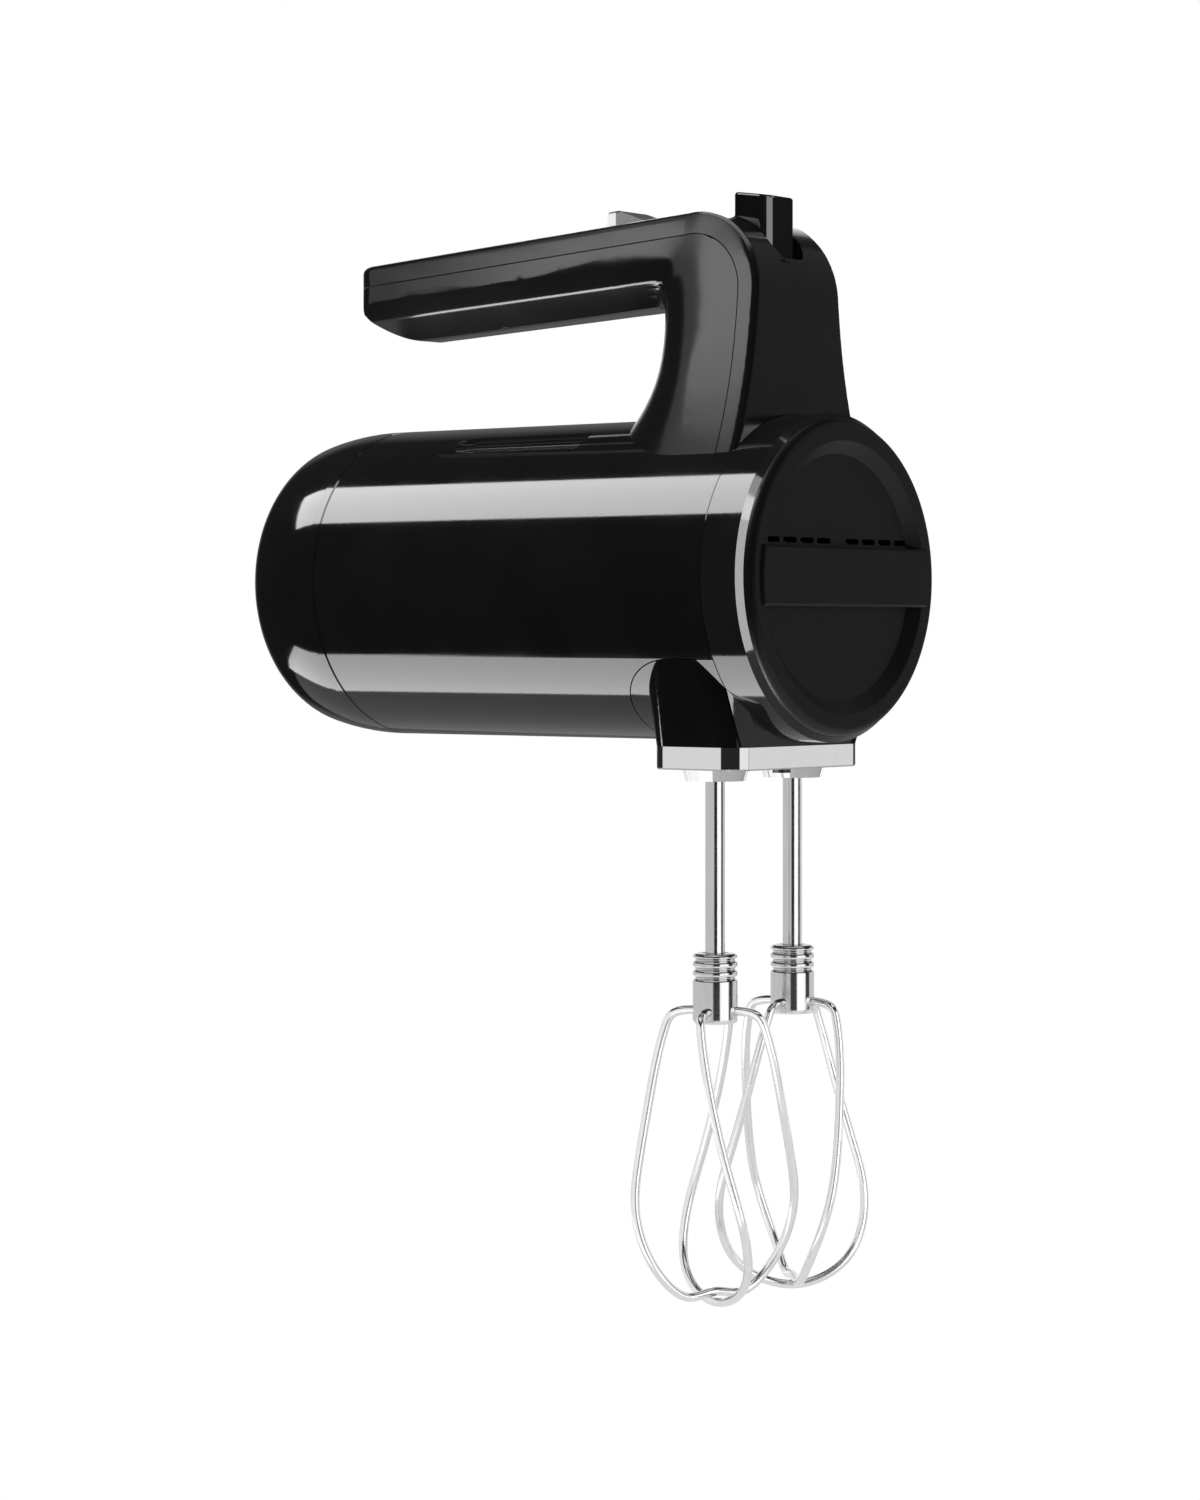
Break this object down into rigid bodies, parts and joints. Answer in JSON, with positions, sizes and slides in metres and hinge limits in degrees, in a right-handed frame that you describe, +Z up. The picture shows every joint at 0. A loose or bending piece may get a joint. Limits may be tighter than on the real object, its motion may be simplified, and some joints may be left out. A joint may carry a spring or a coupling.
{
  "type": "cordless hand mixer",
  "caption": "Cordless hand mixer: gloss barrel with open-ended handle, speed slider, ejector button, worm gear drive and a pair of removable twisted wire beaters.",
  "frame": {"origin": "centre of the flat heel face at the rear end of the barrel, on the barrel axis", "axes": "+Y along the barrel axis, out of the heel; +Z up through the handle; +X to the right in the front view"},
  "size_m": [0.086, 0.183, 0.2928],
  "materials": {
    "gloss_black": "high gloss",
    "cover_black": "soft gloss",
    "satin_black": "satin",
    "chrome_trim": "polished",
    "bright_steel": "polished",
    "silver_slider": "metallic paint",
    "inner_steel": "turned",
    "gear_nylon": "moulded",
    "copper": "enamelled wire",
    "bronze": "sintered",
    "ferrite": "ground",
    "cell_wrap": "shrink sleeve",
    "board_green": "solder mask"
  },
  "bodies": {
    "housing": {"battery_cells": "cell_wrap", "battery_holder": "gear_nylon", "charge_jack": "gear_nylon", "control_board": "board_green", "ejector_spring": "inner_steel", "foot_shroud": "gloss_black", "front_band": "satin_black", "front_bush": "bronze", "front_cap": "satin_black", "gear_frame": "gear_nylon", "handle_cover": "cover_black", "left_socket_collar": "chrome_trim", "main_housing": "gloss_black", "motor_bell": "gear_nylon", "motor_can": "inner_steel", "motor_magnets": "ferrite", "motor_mounts": "gear_nylon", "motor_screws": "inner_steel", "nose_housing": "gloss_black", "plate_screws": "inner_steel", "rear_cap": "gloss_black", "right_socket_collar": "chrome_trim", "speed_switch": "gear_nylon", "trim_plate": "chrome_trim"},
    "rotor": {"motor_shaft": "inner_steel", "worm": "inner_steel", "armature_core": "inner_steel", "armature_coils": "copper", "commutator": "copper", "cooling_fan": "gear_nylon"},
    "left_drive": {"left_spindle": "inner_steel", "left_worm_wheel": "gear_nylon", "left_spindle_clip": "inner_steel"},
    "right_drive": {"right_spindle": "inner_steel", "right_worm_wheel": "gear_nylon", "right_spindle_clip": "inner_steel"},
    "left_beater": {"left_beater_shaft": "bright_steel", "left_ferrule": "bright_steel", "left_outer_loop": "bright_steel", "left_inner_loop": "bright_steel"},
    "right_beater": {"right_beater_shaft": "bright_steel", "right_ferrule": "bright_steel", "right_outer_loop": "bright_steel", "right_inner_loop": "bright_steel"},
    "ejector": {"ejector_button": "gloss_black", "ejector_rod": "inner_steel", "ejector_fork": "gear_nylon"},
    "slider": {"speed_slider": "silver_slider"}
  },
  "joints": [
    {"name": "motor_spin", "type": "hinge", "parent": "housing", "child": "rotor", "pos_m": [0, -0.1125, 0], "axis": [0, 1, 0], "continuous": true},
    {"name": "left_beater_spin", "type": "hinge", "parent": "housing", "child": "left_drive", "pos_m": [-0.01714, -0.1524, 0], "axis": [0, 0, 1], "continuous": true},
    {"name": "right_beater_spin", "type": "hinge", "parent": "housing", "child": "right_drive", "pos_m": [0.01714, -0.1524, 0], "axis": [0, 0, 1], "continuous": true},
    {"name": "left_beater_eject", "type": "slide", "parent": "left_drive", "child": "left_beater", "axis": [0, 0, -1], "range_m": [0, 0.064]},
    {"name": "right_beater_eject", "type": "slide", "parent": "right_drive", "child": "right_beater", "axis": [0, 0, -1], "range_m": [0, 0.064]},
    {"name": "ejector_press", "type": "slide", "parent": "housing", "child": "ejector", "axis": [0, 0, -1], "range_m": [0, 0.009], "stiffness_N_per_m": 300, "springref_m": -0.006, "deforming": ["ejector_spring"]},
    {"name": "speed_slide", "type": "slide", "parent": "housing", "child": "slider", "axis": [0, -0.9983, 0.0584], "range_m": [0, 0.021]}
  ],
  "couplings": [
    {"joint": "left_beater_spin", "follows": "motor_spin", "ratio": -0.076923},
    {"joint": "right_beater_spin", "follows": "motor_spin", "ratio": 0.076923},
    {"joint": "right_beater_eject", "follows": "left_beater_eject", "ratio": 1},
    {"joint": "ejector_press", "follows": "left_beater_eject", "ratio": 0.14062}
  ]
}
